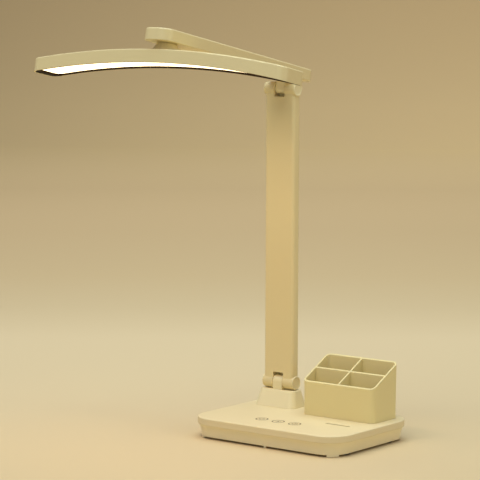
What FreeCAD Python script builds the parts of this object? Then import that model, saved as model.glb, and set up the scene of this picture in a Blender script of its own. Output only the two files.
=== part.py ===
import FreeCAD, Part
import math
import os

# Desk lamp with a touch base, a lift-off pen holder, a folding column and a swivelling light bar.
# Millimetres. +X to the lamp's right, -Y to the user, +Z up. Origin: underside of the base's middle foot.

# base casing
base_length = 190.0
base_depth = 142.0
base_height = 22.0
base_corner_radius = 28.0
lid_thickness = 2.2
lid_wall = 2.2
lid_rim_height = 7.2
lid_edge_round = 0.9
tray_wall = 2.0
tray_floor = 2.0
tray_inset = 4.3
tray_cove = ((0.9, 0.0), (1.6, 1.2), (2.5, 3.2), (3.3, 6.0), (3.8, 8.8))
tray_lip_height = 2.2
floor_gap = 2.2
skid_clear = 0.3
corner_skid_width = 12.5
mid_tab_width = 2.5
mid_tab_x = 3.3

# feet and base screws
foot_diameter = 14.0
foot_recess = 0.6
foot_spacing_x = 162.0
foot_spacing_y = 76.0
case_screw_spacing_x = 156.0
case_screw_spacing_y = 108.0
case_post_diameter = 8.0
case_post_height = 5.2

# screws, shared by every joint that is screwed
screw_diameter = 3.0
screw_head_diameter = 5.4
screw_head_height = 1.3
screw_length = 7.5

# touch controls and the groove in the lid
icon_count = 3
icon_diameter = 14.0
icon_film = 0.3
icon_spacing = 21.0
icon_row_x = -3.5
icon_front_setback = 36.4
groove_length = 31.0
groove_width = 3.6
groove_depth = 1.0
groove_x = 55.1
groove_y = -11.7

# pen holder
holder_length = 90.6
holder_depth = 46.0
holder_front_height = 35.9
holder_back_height = 59.6
holder_side_setback = 13.1
holder_back_setback = 11.6
holder_corner_radius = 6.0
holder_draft = 0.4
holder_wall = 2.0
holder_floor = 2.0
divider_thickness = 1.8
holder_seat_depth = 0.8
holder_lift = 30.0

# where the column stands, and the pedestal round its foot
post_side_setback = 38.5
post_back_setback = 29.4
pedestal_height = 17.6
pedestal_top_width = 44.0
pedestal_top_depth = 18.4
pedestal_side_slope = 4.4
pedestal_front_slope = 7.0
pedestal_back_slope = 5.0
pedestal_corner_radius = 6.0
pedestal_wall = 2.0
pedestal_edge_round = 1.2

# hinges, alike at both ends of the column; the arm's tongue is the slimmer one
hinge_radius = 7.5
hinge_lift = 0.4
tongue_width = 12.0
base_tongue_radius = 7.3
arm_tongue_radius = 5.0
tongue_clearance = 0.4
washer_thickness = 0.4
base_washer_diameter = 13.0
arm_washer_diameter = 9.6
bolt_diameter = 5.0
bolt_head_diameter = 8.6
bolt_head_height = 3.0
cap_thickness = 1.2
cap_round = 0.8
cap_plug_depth = 1.0
base_fork_window = 3.2
arm_fork_window = 2.8
fork_back_wall = 2.4

# column
column_pitch = 312.0
column_width = 38.0
column_thickness = 12.0
column_corner_radius = 3.5
column_wall = 1.8
column_end_block = 16.0
column_cover_width = 30.0
column_screw_count = 3
column_post_diameter = 6.0

# upper arm
arm_tilt = 11.3
arm_reach = 220.4
arm_overhang = 32.4
arm_width = 33.0
arm_thickness = 12.2
arm_corner_radius = 12.0
arm_wall = 1.8
arm_edge_round = 1.4
arm_cover_thickness = 2.0
arm_offset = 12.8
arm_screw_setback = 7.0
arm_screw_shares = (0.314, 0.648)
arm_foot_length = 32.0
arm_foot_width = 26.0
bracket_foot_thickness = 4.0
bracket_screw_pitch_x = 18.0
bracket_screw_pitch_y = 24.0
base_bracket_screw_pitch_x = 18.0
base_bracket_screw_pitch_y = 14.0
base_bracket_foot_margin = 4.0

# swivel between arm and head
swivel_setback = 22.9
boss_height = 8.4
boss_top_diameter = 19.4
boss_base_diameter = 29.5
spindle_diameter = 10.0
spindle_bore_diameter = 6.0
spindle_flange_diameter = 17.0
spindle_flange_thickness = 1.6
hub_diameter = 16.0
hub_height = 5.0
spring_washer_diameter = 15.0
spring_washer_thickness = 0.8
swivel_nut_diameter = 15.0
swivel_nut_height = 2.4

# head
head_length = 320.0
head_width = 37.4
head_thickness = 13.4
head_arch_radius = 983.0
head_corner_radius = 9.0
head_edge_round = 1.2
head_wall = 1.3
head_roof = 2.0
bezel_proud = 0.1
bezel_depth = 4.8
bezel_side_width = 0.8
bezel_end_width = 6.0
diffuser_thickness = 1.8
bezel_ledge = 0.4
diffuser_recess = 2.1
led_board_thickness = 1.2
led_board_width = 20.0
led_board_gap = 26.0
led_rows = 2
led_per_row = 9
led_size = 2.8
led_height = 0.8
led_row_spacing = 9.0
led_board_reach = 134.0
clip_length = 8.0
clip_thickness = 1.2
clip_height = 3.0
clip_reach = 110.0
clip_root = 0.5
clip_count = 3

# inside the base
ballast_depth = 94.0
ballast_thickness = 6.0
ballast_gap = 1.9
ballast_peg_diameter = 5.0
ballast_peg_spacing = 80.0
cell_length = 54.0
cell_depth = 38.0
cell_thickness = 8.0
cell_y = 0.0
board_length = 56.0
board_depth = 36.0
board_thickness = 1.6
board_lift = 5.0
standoff_diameter = 5.0
charge_board_length = 34.0
charge_board_depth = 24.0
charge_board_x = -4.0
charge_board_lift = 1.0
port_width = 9.0
port_height = 3.2
port_depth = 7.4
port_wall = 0.3
touch_pad_diameter = 8.0

# inside leads and fits
lead_diameter = 2.8
lead_x = 9.0
running_clearance = 0.05
fit_clearance = 0.15
seat_clearance = 0.3
overrun = 5.0

# places worked out from the sizes above
lid_underside = base_height - lid_thickness
lid_seam = base_height - lid_rim_height
icon_row_y = icon_front_setback - base_depth / 2
holder_x = base_length / 2 - holder_side_setback - holder_length / 2
holder_y = base_depth / 2 - holder_back_setback - holder_depth / 2
post_x = post_side_setback - base_length / 2
post_y = base_depth / 2 - post_back_setback
tray_top = floor_gap + tray_floor
pedestal_top = base_height + pedestal_height
lower_axis_z = pedestal_top + hinge_radius + hinge_lift
upper_axis_z = lower_axis_z + column_pitch
fork_half_gap = tongue_width / 2 + running_clearance + washer_thickness + running_clearance
arm_bottom = arm_offset
swivel_reach = arm_reach - swivel_setback
arm_top = arm_offset + arm_thickness
arm_inside_top = arm_top - arm_wall
arm_cover_top = arm_bottom + arm_cover_thickness
head_top = arm_bottom - boss_height
head_bottom = head_top - head_thickness
counterbore_depth = bolt_head_height + cap_plug_depth + seat_clearance
ballast_left = icon_row_x + board_length / 2 + ballast_gap
ballast_right = base_length / 2 - tray_inset - tray_wall - ballast_gap
ballast_x = (ballast_left + ballast_right) / 2
screw_hole = screw_diameter + 0.1
head_hole = screw_head_diameter + 0.4
parts = {}


def vec(x, y, z):
    return FreeCAD.Vector(x, y, z)


def box(x0, x1, y0, y1, z0, z1):
    return Part.makeBox(x1 - x0, y1 - y0, z1 - z0, vec(x0, y0, z0))


def cyl(x, y, z, axis, radius, length):
    """A cylinder that starts at the point and runs along the axis."""
    return Part.makeCylinder(radius, length, vec(x, y, z), vec(*axis))


def rounded_wire(x0, x1, y0, y1, z, radius):
    """A level rectangle with round corners."""
    r = min(radius, 0.499 * (x1 - x0), 0.499 * (y1 - y0))
    bend = r * (1 - math.sqrt(0.5))
    ends = [
        (vec(x0 + r, y0, z), vec(x1 - r, y0, z), vec(x1 - bend, y0 + bend, z)),
        (vec(x1, y0 + r, z), vec(x1, y1 - r, z), vec(x1 - bend, y1 - bend, z)),
        (vec(x1 - r, y1, z), vec(x0 + r, y1, z), vec(x0 + bend, y1 - bend, z)),
        (vec(x0, y1 - r, z), vec(x0, y0 + r, z), vec(x0 + bend, y0 + bend, z)),
    ]
    edges = []
    for i, (start, end, middle) in enumerate(ends):
        following = ends[(i + 1) % 4][0]
        edges.append(Part.LineSegment(start, end).toShape())
        edges.append(Part.Arc(end, middle, following).toShape())
    return Part.Wire(edges)


def slab(x0, x1, y0, y1, z0, z1, radius):
    """An upright block with round vertical edges."""
    face = Part.Face(rounded_wire(x0, x1, y0, y1, z0, radius))
    return face.extrude(vec(0, 0, z1 - z0))


def centred_slab(length, depth, z0, z1, radius, x=0.0, y=0.0):
    return slab(x - length / 2, x + length / 2, y - depth / 2, y + depth / 2, z0, z1, radius)


def base_slab(inset, z0, z1):
    """A slab of the base's outline, drawn in by the inset."""
    return centred_slab(
        base_length - 2 * inset, base_depth - 2 * inset, z0, z1, base_corner_radius - inset
    )


def edges_at(shape, height, tolerance=1e-4):
    """The edges that lie at one height."""
    found = []
    for edge in shape.Edges:
        span = edge.BoundBox
        if abs(span.ZMin - height) < tolerance and abs(span.ZMax - height) < tolerance:
            found.append(edge)
    return found


def fuse(shapes):
    whole = shapes[0]
    for shape in shapes[1:]:
        whole = whole.fuse(shape)
    return whole.removeSplitter()


def cut(shape, tools):
    for tool in tools:
        shape = shape.cut(tool)
    return shape


def corners(spacing_x, spacing_y, x=0.0, y=0.0):
    return [
        (x + sx * spacing_x / 2, y + sy * spacing_y / 2) for sx in (-1, 1) for sy in (-1, 1)
    ]


def screw(x, y, z, up):
    """A flat-head screw: z is the outer face of its head, and up is +1 or -1 along Z."""
    start = z if up > 0 else z - screw_head_height
    head = cyl(x, y, start, (0, 0, 1), screw_head_diameter / 2, screw_head_height)
    neck = z + up * screw_head_height
    shank = cyl(x, y, neck, (0, 0, up), screw_diameter / 2, screw_length)
    return head.fuse(shank).removeSplitter()


def save(name, shapes):
    """Keeps a node: one solid, or a list of separate solids."""
    if not isinstance(shapes, list):
        shapes = [shapes]
    solids = [solid for shape in shapes for solid in shape.Solids]
    parts[name] = solids[0] if len(solids) == 1 else Part.makeCompound(solids)


# ---------------------------------------------------------------- base casing


def port_opening():
    """The space in the tray's rear wall for the charging port."""
    z0 = tray_top + charge_board_lift + board_thickness
    wide = port_width / 2 + seat_clearance
    return slab_y(
        charge_board_x - wide, charge_board_x + wide, z0 - seat_clearance,
        z0 + port_height + seat_clearance, base_depth / 2 - tray_inset - 2 * tray_wall,
        base_depth / 2, port_height / 2,
    )


def slab_y(x0, x1, z0, z1, y0, y1, radius):
    """A block along Y whose section has round corners."""
    flat = slab(x0, x1, z0, z1, 0, y1 - y0, radius)
    flat.rotate(vec(0, 0, 0), vec(1, 0, 0), 90)
    flat.translate(vec(0, y1, 0))
    return flat


def bracket_screw_places():
    """Screws under the base that hold the column's bracket."""
    return corners(base_bracket_screw_pitch_x, base_bracket_screw_pitch_y, post_x, post_y)


def base_outline(inset, z):
    """The base's outline at one height, drawn in by the inset."""
    x = base_length / 2 - inset
    y = base_depth / 2 - inset
    return rounded_wire(-x, x, -y, y, z, base_corner_radius - inset)


def tray_skids():
    """Low skids under the four corners, and a small tab in the middle of the front and back."""
    ring = base_slab(tray_inset, skid_clear, floor_gap)
    ring = ring.cut(base_slab(tray_inset + 1.2 * tray_wall, 0, floor_gap))
    half = corner_skid_width / 2
    kept = []
    for x, y in corners(base_length - 2 * base_corner_radius, base_depth - 2 * base_corner_radius):
        reach = box(0, 2 * base_corner_radius, -half, half, 0, floor_gap)
        reach.rotate(vec(0, 0, 0), vec(0, 0, 1), math.degrees(math.atan2(y / abs(y), x / abs(x))))
        reach.translate(vec(x, y, 0))
        kept.append(reach)
    half = mid_tab_width / 2
    kept.append(box(mid_tab_x - half, mid_tab_x + half, -base_depth, base_depth, 0, floor_gap))
    return [ring.common(shape) for shape in kept]


def make_tray():
    sections = [base_outline(tray_inset, floor_gap)]
    sections += [base_outline(inset, lid_seam - drop) for inset, drop in reversed(tray_cove)]
    outer = Part.makeLoft(sections, True, True)
    lip_gap = lid_wall + fit_clearance
    lip = base_slab(lip_gap, lid_seam, lid_seam + tray_lip_height)
    outer = outer.fuse(lip).removeSplitter()
    inside = base_slab(tray_inset + tray_wall, tray_top, base_height)
    tray = outer.cut(inside)
    added = tray_skids()
    holes = [port_opening()]
    for px, py in corners(case_screw_spacing_x, case_screw_spacing_y):
        added.append(cyl(px, py, tray_top, (0, 0, 1), case_post_diameter / 2, case_post_height))
        holes.append(cyl(px, py, floor_gap, (0, 0, 1), head_hole / 2, tray_floor + 1.5))
        holes.append(cyl(px, py, floor_gap, (0, 0, 1), screw_hole / 2, base_height))
    for px, py in board_standoff_places():
        added.append(cyl(px, py, tray_top, (0, 0, 1), standoff_diameter / 2, board_lift))
    for px, py in charge_standoff_places():
        added.append(cyl(px, py, tray_top, (0, 0, 1), standoff_diameter / 2, charge_board_lift))
    for px, py in ballast_peg_places():
        added.append(cyl(px, py, tray_top, (0, 0, 1), ballast_peg_diameter / 2, ballast_thickness))
    tray = fuse([tray] + added)
    for px, py in bracket_screw_places():
        holes.append(cyl(px, py, floor_gap, (0, 0, 1), head_hole / 2, screw_head_height))
        holes.append(cyl(px, py, floor_gap, (0, 0, 1), screw_hole / 2, tray_floor))
    for px, py in foot_places():
        holes.append(cyl(px, py, floor_gap, (0, 0, 1), foot_diameter / 2, foot_recess))
    save("base_tray", cut(tray, holes))


def foot_places():
    return corners(foot_spacing_x, foot_spacing_y) + [(0.0, 0.0)]


def make_feet():
    feet = []
    for x, y in foot_places():
        foot = cyl(x, y, 0, (0, 0, 1), foot_diameter / 2, floor_gap + foot_recess)
        feet.append(foot.makeFillet(0.5, edges_at(foot, 0)))
    save("rubber_feet", feet)


def make_lid():
    rim = base_slab(0, lid_seam, base_height)
    rim = rim.makeFillet(lid_edge_round, edges_at(rim, base_height))
    rim = rim.makeFillet(0.4, edges_at(rim, lid_seam))
    lid = rim.cut(base_slab(lid_wall, lid_seam - 1, lid_underside))
    bosses = []
    holes = []
    boss_bottom = tray_top + case_post_height
    for x, y in corners(case_screw_spacing_x, case_screw_spacing_y):
        height = lid_underside - boss_bottom
        bosses.append(cyl(x, y, boss_bottom, (0, 0, 1), case_post_diameter / 2, height))
        holes.append(cyl(x, y, boss_bottom, (0, 0, 1), screw_hole / 2, height - 0.5))
    lid = fuse([lid] + bosses)
    holes.append(holder_seat())
    holes.append(centred_slab(
        groove_length, groove_width, base_height - groove_depth, base_height + 1,
        groove_width / 2, groove_x, groove_y,
    ))
    for x in icon_places():
        holes.append(cyl(x, icon_row_y, base_height - icon_film, (0, 0, 1), icon_diameter / 2, 1))
    wide = tongue_width + 2 * seat_clearance
    deep = 2 * base_tongue_radius + 2 * seat_clearance
    holes.append(centred_slab(wide, deep, lid_underside - 1, base_height + 1, 1, post_x, post_y))
    for x in pedestal_screw_places():
        holes.append(cyl(x, post_y, lid_underside - 1, (0, 0, 1), screw_hole / 2, 5))
    save("base_lid", cut(lid, holes))


def icon_places():
    first = icon_row_x - icon_spacing * (icon_count - 1) / 2
    return [first + i * icon_spacing for i in range(icon_count)]


def make_touch_controls():
    radius = icon_diameter / 2 - fit_clearance
    films = []
    pads = []
    board_top = tray_top + board_lift + board_thickness
    for x in icon_places():
        films.append(cyl(x, icon_row_y, base_height - icon_film, (0, 0, 1), radius, icon_film))
        height = lid_underside - board_top
        pads.append(cyl(x, icon_row_y, board_top, (0, 0, 1), touch_pad_diameter / 2, height))
    save("touch_icons", films)
    save("touch_pads", pads)


def make_case_screws():
    floor = floor_gap + tray_floor + 1.5 - screw_head_height
    save("base_screws", [
        screw(x, y, floor, 1) for x, y in corners(case_screw_spacing_x, case_screw_spacing_y)
    ])


# ---------------------------------------------------------------- inside the base


def board_standoff_places():
    margin = 8.0
    return corners(board_length - margin, board_depth - margin, icon_row_x, icon_row_y)


def charge_board_y():
    return base_depth / 2 - tray_inset - tray_wall - seat_clearance - charge_board_depth / 2


def charge_standoff_places():
    margin = 7.0
    return corners(
        charge_board_length - margin, charge_board_depth - margin, charge_board_x, charge_board_y()
    )


def ballast_peg_places():
    return [(ballast_x, -ballast_peg_spacing / 2), (ballast_x, ballast_peg_spacing / 2)]


def make_boards():
    z = tray_top + board_lift
    board = centred_slab(
        board_length, board_depth, z, z + board_thickness, 2, icon_row_x, icon_row_y
    )
    save("control_board", board)
    top = z + board_thickness
    chip_y = icon_row_y + board_depth / 4
    save("board_components", [
        centred_slab(7, 7, top, top + 1, 0.4, icon_row_x - 0.8 * icon_spacing, chip_y),
        centred_slab(12, 5, top, top + 4.5, 0.6, icon_row_x + 0.9 * icon_spacing, chip_y),
        centred_slab(6, 6, top, top + 2.8, 0.6, icon_row_x + 0.2 * icon_spacing, chip_y),
    ])
    z = tray_top + charge_board_lift
    y = charge_board_y()
    save("charge_board", centred_slab(
        charge_board_length, charge_board_depth, z, z + board_thickness, 1.5, charge_board_x, y
    ))
    z += board_thickness
    back = base_depth / 2 - tray_inset - 0.3
    half = port_width / 2
    x = charge_board_x
    shell = slab_y(x - half, x + half, z, z + port_height, back - port_depth, back, port_height / 2)
    hollow = slab_y(
        x - half + port_wall, x + half - port_wall, z + port_wall, z + port_height - port_wall,
        back - port_depth + 1, back + 1, port_height / 2 - port_wall,
    )
    save("charge_port", shell.cut(hollow))


def make_ballast_and_cell():
    z = tray_top
    plate = centred_slab(
        ballast_right - ballast_left, ballast_depth, z, z + ballast_thickness, 6, ballast_x, 0
    )
    peg_hole = ballast_peg_diameter / 2 + seat_clearance
    holes = [cyl(x, y, z - 1, (0, 0, 1), peg_hole, 20) for x, y in ballast_peg_places()]
    save("ballast_plate", cut(plate, holes))
    z += ballast_thickness
    cell = centred_slab(cell_length, cell_depth, z, z + cell_thickness, 3, ballast_x, cell_y)
    save("battery_cell", cell.makeFillet(1.5, edges_at(cell, z + cell_thickness)))


# ---------------------------------------------------------------- pedestal and brackets


def pedestal_block(grow):
    """The pedestal's outer form, or its inside when grow is negative."""
    half = pedestal_top_width / 2 + grow
    front = pedestal_top_depth / 2 + grow
    back = pedestal_top_depth / 2 + grow
    bottom = rounded_wire(
        post_x - half - pedestal_side_slope, post_x + half + pedestal_side_slope,
        post_y - front - pedestal_front_slope, post_y + back + pedestal_back_slope,
        base_height, pedestal_corner_radius + 3 + grow,
    )
    top = rounded_wire(
        post_x - half, post_x + half, post_y - front, post_y + back,
        pedestal_top + min(grow, 0), pedestal_corner_radius + grow,
    )
    return Part.makeLoft([bottom, top], True, True)


def pedestal_screw_places():
    reach = pedestal_top_width / 2 - pedestal_wall - column_post_diameter / 2
    return [post_x - reach, post_x + reach]


def make_pedestal():
    outer = pedestal_block(0)
    outer = outer.makeFillet(pedestal_edge_round, edges_at(outer, pedestal_top))
    shell = outer.cut(pedestal_block(-pedestal_wall))
    roof = pedestal_top - pedestal_wall / 2
    posts = [
        cyl(x, post_y, base_height, (0, 0, 1), column_post_diameter / 2, roof - base_height)
        for x in pedestal_screw_places()
    ]
    shell = fuse([shell] + posts)
    wide = tongue_width + 2 * seat_clearance
    deep = 2 * base_tongue_radius + 2 * seat_clearance
    holes = [
        centred_slab(wide, deep, base_height, pedestal_top + 1, 1, post_x, post_y)
    ]
    for x in pedestal_screw_places():
        holes.append(cyl(x, post_y, base_height, (0, 0, 1), screw_hole / 2, screw_length))
    save("pedestal", cut(shell, holes))
    start = lid_underside - screw_head_height
    save("pedestal_screws", [screw(x, post_y, start, 1) for x in pedestal_screw_places()])


def hinge_tongue(radius, foot_bottom, foot_top, foot_width, foot_length, pitch_x, pitch_y):
    """A bracket in its own frame: the axis along X at the origin, the foot below it."""
    half = tongue_width / 2
    round_end = cyl(-half, 0, 0, (1, 0, 0), radius, tongue_width)
    neck = box(-half, half, -radius, radius, foot_top, 0)
    foot = centred_slab(foot_width, foot_length, foot_bottom, foot_top, 3)
    bracket = fuse([round_end, neck, foot])
    bore = cyl(-half - 1, 0, 0, (1, 0, 0), bolt_diameter / 2 + running_clearance, tongue_width + 2)
    holes = [bore]
    for x, y in corners(pitch_x, pitch_y):
        holes.append(cyl(x, y, foot_bottom - 1, (0, 0, 1), screw_hole / 2, 30))
    return cut(bracket, holes)


def make_base_bracket():
    bottom = tray_top - lower_axis_z
    top = bottom + bracket_foot_thickness
    bracket = hinge_tongue(
        base_tongue_radius, bottom, top,
        base_bracket_screw_pitch_x + 2 * base_bracket_foot_margin,
        base_bracket_screw_pitch_y + 2 * base_bracket_foot_margin,
        base_bracket_screw_pitch_x, base_bracket_screw_pitch_y,
    )
    bracket.translate(vec(post_x, post_y, lower_axis_z))
    save("base_bracket", bracket)
    save("bracket_screws", [screw(x, y, floor_gap, 1) for x, y in bracket_screw_places()])


# ---------------------------------------------------------------- column


def hinge_set(name, height, washer_diameter):
    """The bolt, nut, washers and end caps of one hinge, all on the column."""
    cheek = column_width / 2 - counterbore_depth
    shank = cyl(-cheek - bolt_head_height, 0, 0, (1, 0, 0), bolt_diameter / 2,
                2 * cheek + 2 * bolt_head_height)
    head = cyl(cheek, 0, 0, (1, 0, 0), bolt_head_diameter / 2, bolt_head_height)
    bolt = shank.fuse(head).removeSplitter()
    nut_wire = Part.makePolygon([
        vec(-cheek - bolt_head_height, bolt_head_diameter / 2 * math.cos(a),
            bolt_head_diameter / 2 * math.sin(a))
        for a in [math.radians(60 * i) for i in range(7)]
    ])
    nut = Part.Face(nut_wire).extrude(vec(bolt_head_height, 0, 0))
    nut = nut.cut(cyl(-cheek - 20, 0, 0, (1, 0, 0), bolt_diameter / 2 + running_clearance, 40))
    washers = []
    caps = []
    for side in (-1, 1):
        inner = side * (tongue_width / 2 + running_clearance)
        ring = cyl(inner, 0, 0, (side, 0, 0), washer_diameter / 2, washer_thickness)
        bore = cyl(inner - side, 0, 0, (side, 0, 0), bolt_diameter / 2 + running_clearance, 4)
        washers.append(ring.cut(bore))
        face = side * column_width / 2
        disc = cyl(face, 0, 0, (side, 0, 0), hinge_radius - 0.1, cap_thickness)
        rim = [e for e in disc.Edges if abs(e.BoundBox.XMin - face - side * cap_thickness) < 1e-4
               and e.BoundBox.XLength < 1e-4]
        disc = disc.makeFillet(cap_round, rim)
        plug_radius = bolt_head_diameter / 2 + seat_clearance - fit_clearance
        plug = cyl(face, 0, 0, (-side, 0, 0), plug_radius, cap_plug_depth)
        caps.append(disc.fuse(plug).removeSplitter())
    for label, shapes in (
        ("hinge_bolt", [bolt]), ("hinge_nut", [nut]), ("friction_washers", washers),
        ("end_caps", caps),
    ):
        for shape in shapes:
            shape.translate(vec(post_x, post_y, height))
        save(name + "_" + label, shapes)


def fork_cut(tongue_radius, window_room, outward):
    """The gap for a tongue, seen from the hinge axis; outward is -1 below, +1 above."""
    half = fork_half_gap
    swing = tongue_radius + tongue_clearance
    front = -hinge_radius - 2
    window = tongue_radius + window_room
    tools = [
        cyl(-half, 0, 0, (1, 0, 0), swing, 2 * half),
        box(-half, half, front, -front, min(0, outward * 40), max(0, outward * 40)),
        box(-half, half, front, column_thickness / 2 - fork_back_wall,
            min(0, -outward * window), max(0, -outward * window)),
    ]
    if outward > 0:
        tools.append(box(-half, half, 0, -front, min(0, -outward * swing), max(0, -outward * swing)))
    return fuse(tools)


def column_screw_heights():
    low = lower_axis_z + column_end_block + 14
    step = (column_pitch - 2 * (column_end_block + 14)) / (column_screw_count - 1)
    return [low + i * step for i in range(column_screw_count)]


def make_column():
    half = column_width / 2
    deep = column_thickness / 2
    shell = centred_slab(
        column_width, column_thickness, lower_axis_z, upper_axis_z, column_corner_radius,
        post_x, post_y,
    )
    low = lower_axis_z + column_end_block
    high = upper_axis_z - column_end_block
    shell = shell.cut(centred_slab(
        column_width - 2 * column_wall, column_thickness - 2 * column_wall, low, high,
        column_corner_radius - column_wall, post_x, post_y,
    ))
    shell = shell.cut(box(
        post_x - column_cover_width / 2, post_x + column_cover_width / 2,
        post_y + deep - column_wall, post_y + deep + 1, low, high,
    ))
    for height in (lower_axis_z, upper_axis_z):
        barrel = cyl(post_x - half, post_y, height, (1, 0, 0), hinge_radius, column_width)
        shell = shell.fuse(barrel)
    shell = shell.removeSplitter()
    tools = []
    bore = bolt_diameter / 2 + running_clearance
    for height, radius, room, outward in (
        (lower_axis_z, base_tongue_radius, base_fork_window, -1),
        (upper_axis_z, arm_tongue_radius, arm_fork_window, 1),
    ):
        gap = fork_cut(radius, room, outward)
        gap.translate(vec(post_x, post_y, height))
        tools.append(gap)
        tools.append(cyl(post_x - half - 1, post_y, height, (1, 0, 0), bore, column_width + 2))
        for side in (-1, 1):
            tools.append(cyl(
                post_x + side * (half + 1), post_y, height, (-side, 0, 0),
                bolt_head_diameter / 2 + seat_clearance, counterbore_depth + 1,
            ))
        channel = lead_diameter / 2 + seat_clearance
        tools.append(cyl(
            post_x, post_y - column_thickness / 2 + column_wall + channel, height, (0, 0, -outward),
            channel, column_end_block + 1,
        ))
    shell = cut(shell, tools)
    inner = post_y - deep + column_wall
    pilot = screw_hole / 2
    posts = []
    holes = []
    for z in column_screw_heights():
        length = column_thickness - 2 * column_wall
        posts.append(cyl(post_x, inner, z, (0, 1, 0), column_post_diameter / 2, length))
        holes.append(cyl(post_x, inner, z, (0, 1, 0), pilot, length + 1))
    shell = cut(fuse([shell] + posts), holes)
    save("column_shell", shell)


def make_column_cover():
    gap = fit_clearance
    deep = column_thickness / 2
    low = lower_axis_z + column_end_block + gap
    high = upper_axis_z - column_end_block - gap
    half = column_cover_width / 2 - gap
    cover = box(post_x - half, post_x + half, post_y + deep - column_wall, post_y + deep, low, high)
    holes = []
    screws = []
    for z in column_screw_heights():
        outer = post_y + deep
        holes.append(cyl(post_x, outer + 1, z, (0, -1, 0), screw_hole / 2, 5))
        holes.append(cyl(post_x, outer + 1, z, (0, -1, 0), head_hole / 2, 1 + screw_head_height))
        one = screw(0, 0, 0, 1)
        one.rotate(vec(0, 0, 0), vec(1, 0, 0), 90)
        one.translate(vec(post_x, outer, z))
        screws.append(one)
    save("column_cover", cut(cover, holes))
    save("column_screws", screws)


def make_base_lead():
    radius = lead_diameter / 2
    start = icon_row_y + board_depth / 2 + lead_diameter
    end = charge_board_y() - charge_board_depth / 2 - lead_diameter
    z = tray_top + radius + running_clearance
    save("base_lead", cyl(charge_board_x, start, z, (0, 1, 0), radius, end - start))


def make_column_lead():
    gap = 2.0
    radius = lead_diameter / 2
    low = lower_axis_z + column_end_block + gap
    y = post_y - column_thickness / 2 + column_wall + radius + running_clearance
    length = column_pitch - 2 * (column_end_block + gap)
    save("column_lead", cyl(post_x + lead_x, y, low, (0, 0, 1), radius, length))


# ---------------------------------------------------------------- upper arm
# The arm and the head are drawn level, with the upper hinge axis at the origin, forward along -Y.


def place_on_arm(shape):
    shape.rotate(vec(0, 0, 0), vec(1, 0, 0), -arm_tilt)
    shape.translate(vec(post_x, post_y, upper_axis_z))
    return shape


def save_on_arm(name, shapes):
    if not isinstance(shapes, list):
        shapes = [shapes]
    save(name, [place_on_arm(shape) for shape in shapes])


def arm_slab(inset, z0, z1):
    return slab(
        -arm_width / 2 + inset, arm_width / 2 - inset, -arm_reach + inset, arm_overhang - inset,
        z0, z1, arm_corner_radius - inset,
    )


def arm_screw_places():
    rear = arm_overhang - arm_screw_setback
    return [(0.0, rear)] + [(0.0, -share * swivel_reach) for share in arm_screw_shares]


def arm_foot_places():
    return corners(bracket_screw_pitch_x, bracket_screw_pitch_y)


def make_arm():
    outer = arm_slab(0, arm_bottom, arm_top)
    outer = outer.makeFillet(arm_edge_round, edges_at(outer, arm_top))
    outer = outer.makeFillet(arm_edge_round / 2, edges_at(outer, arm_bottom))
    shell = outer.cut(arm_slab(arm_wall, arm_bottom - 1, arm_inside_top))
    posts = []
    holes = []
    for x, y in arm_screw_places():
        height = arm_inside_top - arm_cover_top
        posts.append(cyl(x, y, arm_cover_top, (0, 0, 1), column_post_diameter / 2, height))
        holes.append(cyl(x, y, arm_cover_top, (0, 0, 1), screw_hole / 2, height))
    foot_top = arm_cover_top + bracket_foot_thickness
    for x, y in arm_foot_places():
        height = arm_inside_top - foot_top
        posts.append(cyl(x, y, foot_top, (0, 0, 1), column_post_diameter / 2, height))
        holes.append(cyl(x, y, foot_top, (0, 0, 1), screw_hole / 2, height))
    save_on_arm("arm_shell", cut(fuse([shell] + posts), holes))


def make_arm_cover():
    cover = arm_slab(arm_wall + fit_clearance, arm_bottom, arm_cover_top)
    hub = cyl(0, -swivel_reach, arm_bottom, (0, 0, 1), hub_diameter / 2, hub_height)
    cover = cover.fuse(hub).removeSplitter()
    bore = spindle_diameter / 2 + running_clearance
    holes = [cyl(0, -swivel_reach, arm_bottom - 1, (0, 0, 1), bore, hub_height + 2)]
    wide = tongue_width / 2 + seat_clearance
    deep = arm_tongue_radius + seat_clearance
    holes.append(slab(-wide, wide, -deep, deep, arm_bottom - 1, arm_cover_top + 1, 1))
    screws = []
    for x, y in arm_screw_places():
        holes.append(cyl(x, y, arm_bottom - 1, (0, 0, 1), screw_hole / 2, 5))
        holes.append(cyl(x, y, arm_bottom - 1, (0, 0, 1), head_hole / 2, 1 + screw_head_height))
        screws.append(screw(x, y, arm_bottom, 1))
    save_on_arm("arm_cover", cut(cover, holes))
    save_on_arm("arm_screws", screws)


def make_arm_bracket():
    foot_top = arm_cover_top
    foot_bottom = foot_top + bracket_foot_thickness
    bracket = hinge_tongue(
        arm_tongue_radius, -foot_bottom, -foot_top, arm_foot_width, arm_foot_length,
        bracket_screw_pitch_x, bracket_screw_pitch_y,
    )
    bracket.rotate(vec(0, 0, 0), vec(1, 0, 0), 180)
    holes = []
    screws = []
    for x, y in arm_foot_places():
        holes.append(cyl(x, y, arm_cover_top, (0, 0, 1), head_hole / 2, screw_head_height))
        one = screw(x, y, arm_cover_top, 1)
        limit = box(-50, 50, -50, 50, 0, arm_inside_top)
        screws.append(one.common(limit))
    save_on_arm("arm_bracket", cut(bracket, holes))
    save_on_arm("arm_bracket_screws", screws)


def make_arm_lead():
    start = arm_foot_length / 2 + 2.0
    end = swivel_reach - hub_diameter / 2 - 2.0
    z = arm_cover_top + lead_diameter / 2 + running_clearance
    save_on_arm("arm_lead", cyl(lead_x, -start, z, (0, -1, 0), lead_diameter / 2, end - start))


# ---------------------------------------------------------------- swivel


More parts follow.
